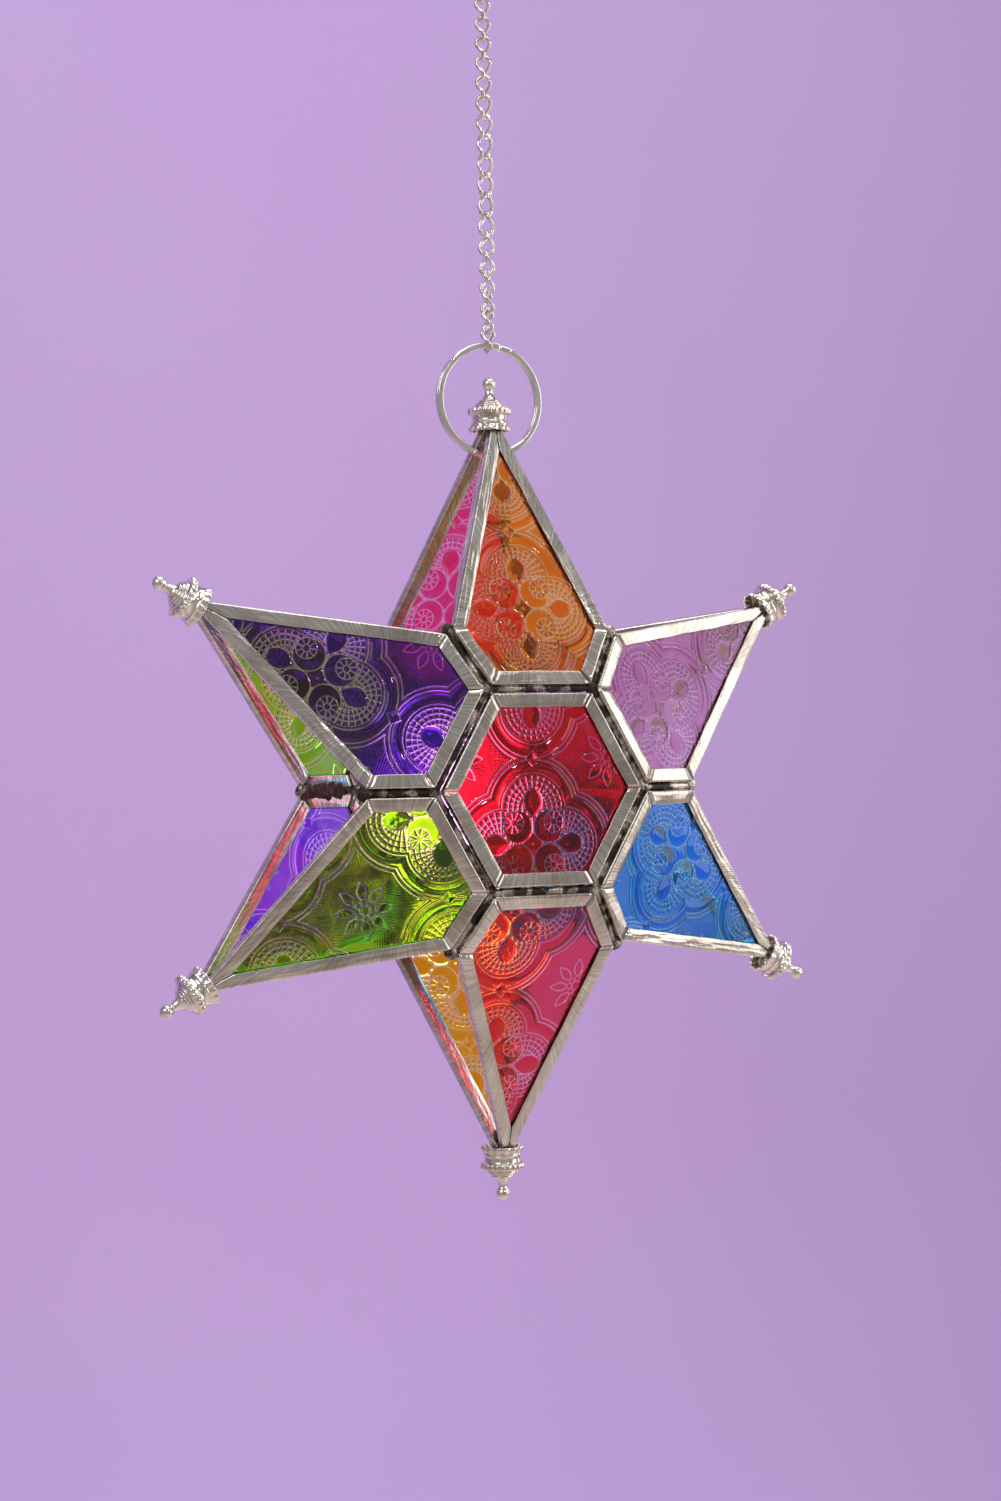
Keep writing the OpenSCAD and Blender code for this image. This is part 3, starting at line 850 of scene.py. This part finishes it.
def shell_solder(rng):
    """A shell's solder, drawn with +z outwards: runs in the seams, lumps at the corners and valleys."""
    shape = Shape()
    for i in range(6):
        here = np.array([math.cos(math.radians(60 * i)), math.sin(math.radians(60 * i))])
        after = np.array([math.cos(math.radians(60 * i + 60)), math.sin(math.radians(60 * i + 60))])
        inner = [*(HEXAGON_R * here), HEXAGON_DEPTH - SEAM_SUNK]
        neighbour = [*(HEXAGON_R * after), HEXAGON_DEPTH - SEAM_SUNK]
        valley = [*(VALLEY_R * here), depth_at(VALLEY_U) - SEAM_SUNK]
        shape.add(*bead(rng, inner, neighbour, SEAM_BEAD_R))
        shape.add(*bead(rng, inner, valley, SEAM_BEAD_R))
        shape.add(*lump(rng, [*(HEXAGON_R * here), HEXAGON_DEPTH - 2.7], (2.1, 2.1, 1.0)))
        shape.add(*lump(rng, [*((VALLEY_R - 0.8) * here), depth_at(VALLEY_U) - 2.5], (2.2, 2.2, 1.7)))
    return shape


def point_solder(rng):
    """Solder in the wedge between a front and a rear point, and up inside its cap."""
    shape = Shape()
    for direction in POINTS.values():
        where = move(0, 0, STAR_Z) @ turn("Y", -direction)
        for u in np.arange(104.4, 113, 1.9):
            inner = max(1.2, depth_at(u) - CHANNEL_T / math.cos(math.radians(TILT)) + 0.4)
            points, faces, uvs = lump(rng, (u, 0, 0), (1.5, inner, 0.95))
            shape.add(placed(where, points), faces, uvs)
    return shape


def build_flux_with_painted_shade(material):
    """A crust of solder and flux lumps inside the rear shell, along the seam that ends at the left valley,
    its dark brown colour painted shade.
    """
    rng = np.random.default_rng(23)
    shape = Shape()
    seam_fall = (HEXAGON_DEPTH - depth_at(VALLEY_U)) / (VALLEY_R - HEXAGON_R)
    for r in np.arange(FLUX_START_R, FLUX_END_R, FLUX_STEP):
        inner_face = HEXAGON_DEPTH - seam_fall * (r - HEXAGON_R) - CHANNEL_T
        height = rng.uniform(1.8, 2.9)
        shape.add(*lump(rng, (r, rng.uniform(-0.8, 0.8), inner_face - 0.4), (1.5, height, 1.1)))
    make_piece("flux_with_painted_shade_crust", place_shape(shape, stand("rear")), material, "lantern")


def build_solder(metal):
    rng = np.random.default_rng(11)
    for shell in SHELLS:
        lumps = place_shape(shell_solder(rng), stand(shell))
        make_piece(f"{shell}_solder_runs", lumps, metal, "lantern", [f"{shell}_solder"])
    make_piece("tip_solder_lumps", point_solder(rng), metal, "lantern", ["point_solder"])


# ---- Finials ----

BALL_REACH = 122.9
REEDS = 22
SCALLOPS = 14

# Going from the ball's top down the outside and back up inside: radius, distance below the ball's
# centre, and where they stand out, how far the reeds do and how far the scallops do
FINIAL_OUTLINE = [
    (0.35, -2.07), (1.0, -1.85), (1.6, -1.36), (2.0, -0.66), (2.1, 0),
    (2.0, 0.66), (1.6, 1.36), (1.3, 1.75), (1.25, 2.2), (1.4, 2.9),
    (1.6, 3.5), (1.85, 4.1), (2.2, 4.6), (2.75, 4.95),
    (3.2, 5.05), (3.35, 5.25), (3.2, 5.5), (3.15, 5.62), (3.8, 5.75),
    (4.05, 5.95), (3.95, 6.2), (3.9, 6.3), (4.6, 6.45), (4.85, 6.65),
    (4.75, 6.9), (4.7, 7.0), (5.6, 7.25), (6.05, 7.4),
    (6.2, 7.5, 0.2, 0), (6.3, 7.75, 0.35, 0), (6.3, 8.4, 0.35, 0), (6.3, 9.05, 0.35, 0), (6.2, 9.3, 0.2, 0),
    (6.0, 9.4), (5.6, 9.5), (5.45, 9.7), (5.4, 10.7), (5.48, 11.6),
    (5.75, 11.75), (5.85, 11.95), (5.7, 12.15), (5.65, 12.4, 0, 0.1),
    (5.85, 12.9, 0, 0.25), (6.05, 13.6, 0, 0.35), (6.1, 14.15, 0, 0.38), (6.0, 14.38, 0, 0.36),
    (5.75, 14.35, 0, 0.34), (5.5, 13.7, 0, 0.25), (5.2, 12.9, 0, 0.1), (4.95, 12.2),
    (4.92, 10.5), (4.9, 8.95), (4.5, 8.85), (0.35, 8.85),
]


def finial(direction):
    """A turned and pressed cap, drawn along +z from the star's centre and then leant out."""
    steps = REEDS * 7
    angle = np.radians(np.linspace(0, 360, steps, endpoint=False))
    reeds = 2 * np.abs(np.cos(angle * REEDS / 2)) ** 0.6 - 1
    scallops = 2 * np.abs(np.cos(angle * SCALLOPS / 2)) ** 0.8 - 1
    rings = []
    for radius, below, *relief in FINIAL_OUTLINE:
        reed, scallop = relief or (0, 0)
        r = radius + reed * reeds + scallop * scallops
        z = np.full(steps, BALL_REACH - below)
        rings.append(np.stack([r * np.cos(angle), r * np.sin(angle), z], axis=1))
    points, faces, uvs = skin(np.array(rings))
    where = move(0, 0, STAR_Z) @ turn("Y", 90 - direction)
    shape = Shape()
    shape.add(placed(where, points), faces, uvs)
    return shape


def build_finials(metal):
    for name, direction in POINTS.items():
        make_piece(f"cap_{name}", finial(direction), metal, "lantern", [f"finial_{name}"])


# ---- Braces, tray and cup ----

BRACE_W, BRACE_T = 2.2, 1.6
BRACE_START_R, BRACE_END_R = 58, 98
EDGE_TURN = math.degrees(math.atan(EDGE_LEAN))


def flat_bar(rng, long, width, thick, fold=0.28, step=1.5):
    """A strip folded double, drawn up +y from the origin, its width along x and its thickness up z."""
    slit = 0.16
    section = np.vstack([
        arc(width - fold, thick - fold, fold, 0, 90, 4),
        arc(fold, thick - fold, fold, 90, 180, 4),
        arc(fold, fold, fold, 180, 270, 4),
        arc(width - fold, fold, fold, 270, 360, 4),
        [[width, thick / 2 - slit / 2], [width * 0.3, thick / 2 - slit / 2]],
        [[width * 0.3, thick / 2 + slit / 2], [width, thick / 2 + slit / 2]],
    ])
    position = np.linspace(0, long, int(long / step))
    sway = wobble(rng, position, 17, 0.1 * width)
    rings = np.array([
        np.stack([section[:, 0] + w + 0.05 * width, np.full(len(section), p), section[:, 1]], axis=1)
        for p, w in zip(position, sway)
    ])
    return skin(rings)


def build_braces(metal):
    rng = np.random.default_rng(17)
    back = [(MEET_Y - along(r)) / math.cos(math.radians(EDGE_TURN)) for r in (BRACE_START_R, BRACE_END_R)]
    for name, side in (("left", -1), ("right", 1)):
        across = -BRACE_W - SEAM_GAP / 2 if side > 0 else SEAM_GAP / 2
        where = lay_point("front", 90) @ move(0, MEET_Y, -CHANNEL_T - BRACE_T)
        where = where @ turn("Z", side * EDGE_TURN) @ move(across, -back[0], 0)
        points, faces, uvs = flat_bar(rng, back[0] - back[1], BRACE_W, BRACE_T)
        shape = Shape()
        shape.add(placed(where, points), faces, uvs, smooth=False)
        make_piece(f"folded_brace_{name}", shape, metal, "lantern", [f"brace_{name}"])


TRAY_W, TRAY_T, TRAY_TAB_H = 30, 0.8, 3.6
CUP_D, CUP_H, CUP_WALL = 41, 10, 0.8
TRAY_Z = SEAM_GAP / 2 - HEXAGON_EDGE_R


def build_tray(metal):
    """A bent strap from shell to shell, its ends turned up and its edges softened."""
    reach = HEXAGON_DEPTH - CHANNEL_T
    bend = 1.4
    outer = np.vstack([
        [[-reach, TRAY_TAB_H]],
        arc(bend - reach, bend, bend, 180, 270, 6),
        [[-reach / 2, 0], [0, 0], [reach / 2, 0]],
        arc(reach - bend, bend, bend, 270, 360, 6),
        [[reach, TRAY_TAB_H]],
    ])
    ahead = np.gradient(outer, axis=0)
    ahead /= np.linalg.norm(ahead, axis=1)[:, None]
    inner = outer + TRAY_T * np.stack([-ahead[:, 1], ahead[:, 0]], axis=1)
    half = TRAY_W / 2
    soft = 0.2
    rings = []
    for low, high in zip(outer, inner):
        towards = (high - low) * soft / TRAY_T
        corners = [
            (-half + soft, low), (half - soft, low), (half, low + towards), (half, high - towards),
            (half - soft, high), (-half + soft, high), (-half, high - towards), (-half, low + towards),
        ]
        rings.append([[x, p[0], p[1] + TRAY_Z + STAR_Z] for x, p in corners])
    shape = Shape()
    shape.add(*skin(np.array(rings)), smooth=[False, False, False])
    make_piece("tray_strap", shape, metal, "lantern", ["candle_tray"])


def lathe(outline, around):
    """Turns an outline of (radius, height) about the z axis."""
    angle = np.radians(np.linspace(0, 360, around, endpoint=False))
    return np.array([
        np.stack([r * np.cos(angle), r * np.sin(angle), np.full(around, z)], axis=1) for r, z in outline
    ])


def build_cup(metal):
    """A drawn cup with a rolled rim and a ring pressed into its floor."""
    r, wall = CUP_D / 2, CUP_WALL
    rim = 0.55
    outline = np.vstack([
        [[0.4, 0], [8, 0], [8.4, 0.12], [8.8, 0]],
        arc(r - 1.3, 1.3, 1.3, 270, 360, 6) - [0.35, 0],
        [[r - 0.3, CUP_H - 1.4]],
        arc(r - rim, CUP_H - rim, rim, -40, 200, 10),
        [[r - 0.3 - wall, CUP_H - 1.5], [r - 0.3 - wall, 2.2], [r - 1.9, wall]],
        [[8.8, wall], [8.4, wall + 0.12], [8, wall], [0.4, wall]],
    ])
    rings = lathe(outline, 96) + [0, 0, STAR_Z + TRAY_Z + TRAY_T]
    shape = Shape()
    shape.add(*skin(rings))
    make_piece("drawn_cup", shape, metal, "lantern", ["candle_cup"])


# ---- Split ring ----

RING_D, RING_RADIAL, RING_AXIAL = 35, 1.8, 2.4
RING_GAP_AT = 70


def build_ring(metal):
    """Two turns of flattened wire side by side, crossing over between the wire's two ends."""
    half_gap = 7
    coil_w = RING_AXIAL / 2 - 0.04
    corner = 0.38
    across, along_axis = RING_RADIAL / 2, coil_w / 2
    section = np.vstack([
        arc(across - corner, along_axis - corner, corner, 0, 90, 5),
        arc(corner - across, along_axis - corner, corner, 90, 180, 5),
        arc(corner - across, corner - along_axis, corner, 180, 270, 5),
        arc(across - corner, corner - along_axis, corner, 270, 360, 5),
    ])
    turned = np.linspace(half_gap, 720 - half_gap, 330)
    crossing = np.clip((turned - 360) / (2 * (half_gap - 1)) + 0.5, 0, 1)
    crossing = crossing * crossing * (3 - 2 * crossing)
    offset = (crossing - 0.5) * RING_AXIAL / 2
    middle_r = RING_D / 2 - RING_RADIAL / 2
    rings = []
    for t, y in zip(np.radians(turned + RING_GAP_AT), offset):
        out = np.array([math.cos(t), 0, math.sin(t)])
        rings.append((middle_r + section[:, :1]) * out + (section[:, 1:] + y) * np.array([0, 1, 0]))
    shape = Shape()
    shape.add(*skin(np.array(rings) + [0, 0, RING_Z]), smooth=[True, False, False])
    make_piece("coiled_ring", shape, metal, "ring", ["split_ring"])


# ---- Chain ----

WIRE_D = 1.15
BEND_R = 2.0
SIDE_L = 3.1
LINK_PLAY = 0.05
LINKS_PER_SEGMENT = 4
PITCH = SIDE_L + 2 * BEND_R - WIRE_D - LINK_PLAY
LOWEST_LINK_Z = RING_Z + RING_D / 2 - RING_RADIAL / 2 + SIDE_L / 2


def link_angle(k):
    """How far link k, counted up from the ring, is turned about the chain."""
    return -135 + 16.6 * k - 0.41 * k * k


def link_path():
    """Centre line of a curb link: a stadium whose sides are twisted through a quarter turn."""
    t = np.radians(np.linspace(0, 180, 18, endpoint=False))
    side = np.linspace(-0.5, 0.5, 12, endpoint=False) * SIDE_L
    x = np.concatenate([np.full(12, BEND_R), BEND_R * np.cos(t), np.full(12, -BEND_R), -BEND_R * np.cos(t)])
    z = np.concatenate([side, SIDE_L / 2 + BEND_R * np.sin(t), -side, -SIDE_L / 2 - BEND_R * np.sin(t)])
    twist = np.radians(-90 * np.clip(z / SIDE_L, -0.5, 0.5))
    return np.stack([x * np.cos(twist), x * np.sin(twist), z], axis=1)


def build_chain(metal):
    path = link_path()
    for number in range(1, 6):
        shape = Shape()
        first = (5 - number) * LINKS_PER_SEGMENT
        for k in range(first, first + LINKS_PER_SEGMENT):
            where = move(0, 0, LOWEST_LINK_Z + k * PITCH) @ turn("Z", link_angle(k))
            shape.add(*wire(placed(where, path), WIRE_D / 2, closed=True))
        body = f"chain_{number}"
        make_piece(f"curb_links_{number}", shape, metal, body, [body])


# ---- Hook ----

HOOK_WIRE_D, HOOK_END_D = 2.0, 2.3
LOWER_LOOP_R, LOWER_TURN = 3.2, 290
UPPER_LOOP_R, UPPER_TURN = 8.0, 245


def build_hook(metal):
    """An S of round wire with a slightly swollen, rounded tip at each end."""
    upper_z = HOOK_WIRE_D / 2 - UPPER_LOOP_R
    lower_z = upper_z - UPPER_LOOP_R - LOWER_LOOP_R
    lower = arc(0, lower_z, LOWER_LOOP_R, 90 + LOWER_TURN, 90, 60)
    upper = arc(0, upper_z, UPPER_LOOP_R, -90, UPPER_TURN - 90, 90)
    flat = np.vstack([lower, upper[1:]])
    path = np.stack([flat[:, 0], np.zeros(len(flat)), flat[:, 1]], axis=1)
    top_link = 5 * LINKS_PER_SEGMENT - 1
    path = placed(turn("Z", link_angle(top_link) + 45), path)
    position = lengths(path)
    from_end = np.minimum(position, position[-1] - position)
    swollen = HOOK_WIRE_D / 2 + (HOOK_END_D - HOOK_WIRE_D) / 2 * np.clip(1 - (from_end / 1.6) ** 2, 0, 1)
    shape = Shape()
    points, faces, uvs = wire(path, swollen, around=20)
    shape.add(points, faces, uvs)
    for end, before in ((path[0], path[1]), (path[-1], path[-2])):
        outward = (end - before) / np.linalg.norm(end - before)
        shape.add(*rounded_tip(end, outward, swollen[0]))
    make_piece("bent_hook", shape, metal, "hook", ["hook"])


def rounded_tip(end, outward, radius):
    """A half ball that closes the end of a wire."""
    level = np.radians(np.linspace(-20, 86, 9))
    side = np.cross(outward, [0.3, 0.5, 0.8])
    side /= np.linalg.norm(side)
    other = np.cross(outward, side)
    angle = np.radians(np.linspace(0, 360, 20, endpoint=False))[None, :, None]
    rings = (
        end
        + radius * np.sin(level)[:, None, None] * outward
        + radius * np.cos(level)[:, None, None] * (np.cos(angle) * side + np.sin(angle) * other)
    )
    return skin(rings)


# ---- Studio ----

STAR = Vector((0, 0, STAR_Z * MM))


def build_backdrop():
    """A pale wall that sweeps down into a pale floor, well away from the lantern."""
    floor_z, wall_y, sweep = -1.25, 1.7, 0.6
    profile = np.vstack([
        [[-6, floor_z], [-2, floor_z]],
        arc(wall_y - sweep, floor_z + sweep, sweep, 270, 360, 24),
        [[wall_y, 3.5]],
    ])
    xs = np.linspace(-5, 5, 9)
    points = np.array([[x, y, z] for y, z in profile for x in xs]) / MM
    numbers = np.arange(len(points)).reshape(len(profile), len(xs))
    quads = np.stack([numbers[:-1, :-1], numbers[:-1, 1:], numbers[1:, 1:], numbers[1:, :-1]], axis=-1)
    mesh = bpy.data.meshes.new("backdrop")
    mesh.from_pydata((points * MM).tolist(), [], quads.reshape(-1, 4).tolist())
    mesh.shade_smooth()
    mesh.materials.append(backdrop_paint())
    backdrop = bpy.data.objects.new("backdrop", mesh)
    bpy.context.scene.collection.objects.link(backdrop)


def softbox(name, place, size, power, colour, aim=STAR):
    light = bpy.data.lights.new(name, "AREA")
    light.shape = "RECTANGLE"
    light.size, light.size_y = size
    light.energy = power
    light.color = colour
    lamp = bpy.data.objects.new(name, light)
    lamp.location = place
    lamp.rotation_mode = "QUATERNION"
    lamp.rotation_quaternion = (aim - Vector(place)).to_track_quat("-Z", "Y")
    bpy.context.scene.collection.objects.link(lamp)
    return lamp


def build_lights():
    """Soft lamps, a small one for glints, and one behind the star that shows only through its glass."""
    softbox("key", (1.5, -0.8, 0), (1.0, 1.6), 8.5, (1.0, 0.96, 0.92))
    softbox("fill", (-1.3, -0.9, 0.7), (0.9, 0.9), 6, (0.99, 0.97, 1.0))
    softbox("back_right", (1.5, 0.5, -0.1), (0.6, 1.2), 3, (1.0, 0.97, 0.95))
    softbox("top", (0.1, -0.5, 1.3), (1.1, 1.1), 6, (1.0, 0.98, 0.97))
    softbox("sparkle", (0.35, -1.4, 0.45), (0.1, 0.1), 1.3, (1.0, 0.98, 0.96))
    glow = softbox("glow", (0.037, 0.116, STAR_Z * MM - 0.021), (0.033, 0.06), 0.022, (1.0, 0.98, 0.9))
    glow.visible_camera = False
    softbox("wall", (0.6, 0.2, 1.3), (1.8, 0.8), 14.5, (1.0, 0.99, 1.0), aim=Vector((0.9, 1.7, -0.5)))
    softbox("low_wall", (0.8, 0.3, -1.2), (1.8, 0.5), 5.5, (1.0, 0.99, 1.0), aim=Vector((1.0, 1.7, -0.6)))
    world = bpy.data.worlds.new("studio")
    bpy.context.scene.world = world
    world.use_nodes = True
    background = world.node_tree.nodes["Background"]
    background.inputs["Color"].default_value = (0.64, 0.62, 0.61, 1)
    background.inputs["Strength"].default_value = 0.5


def build_camera():
    """The camera looks at the star from the front left, level with it."""
    azimuth, elevation, roll = math.radians(-26.4), math.radians(0.2), math.radians(-1.0)
    distance, shift_x, shift_z = 0.8258, 0.00163, 0.0116
    back = Vector((
        math.sin(azimuth) * math.cos(elevation),
        -math.cos(azimuth) * math.cos(elevation),
        math.sin(elevation),
    ))
    right = (-back).cross(Vector((0, 0, 1))).normalized()
    up = right.cross(-back)
    image_right = right * math.cos(roll) + up * math.sin(roll)
    image_up = up * math.cos(roll) - right * math.sin(roll)
    data = bpy.data.cameras.new("camera")
    data.sensor_width = 36
    data.lens = 65.16
    data.clip_start, data.clip_end = 0.05, 50
    camera = bpy.data.objects.new("camera", data)
    place = STAR + back * distance + right * shift_x + up * shift_z
    camera.matrix_world = Matrix((
        (image_right.x, image_up.x, back.x, place.x),
        (image_right.y, image_up.y, back.y, place.y),
        (image_right.z, image_up.z, back.z, place.z),
        (0, 0, 0, 1),
    ))
    bpy.context.scene.collection.objects.link(camera)
    bpy.context.scene.camera = camera


build_camera()
build_backdrop()
build_lights()
bpy.context.scene.view_settings.view_transform = "Standard"

channel = channel_metal()
build_panes(channel, {tint: tinted_glass(f"glass_{tint}", GLASS_COLOURS[tint]) for tint in GLASS_COLOURS})
build_braces(channel)
build_solder(solder_metal())
build_flux_with_painted_shade(flux_and_painted_shade_metal())
build_finials(plated_metal(
    "cast_cap", rgb(0.97, 0.93, 0.88), rgb(0.80, 0.73, 0.65), 0.08, 0.2, dirt=0.55
))
tray_metal = plated_metal("tray_sheet", rgb(0.72, 0.70, 0.67), rgb(0.55, 0.53, 0.50), 0.25, 0.42)
build_tray(tray_metal)
build_cup(tray_metal)
build_ring(plated_metal("spring_wire", rgb(0.96, 0.93, 0.90), rgb(0.80, 0.75, 0.69), 0.1, 0.22))
build_chain(plated_metal("chain_wire", rgb(0.96, 0.94, 0.91), rgb(0.78, 0.74, 0.69), 0.14, 0.28))
build_hook(plated_metal("hook_wire", rgb(0.84, 0.82, 0.79), rgb(0.68, 0.65, 0.61), 0.16, 0.3))
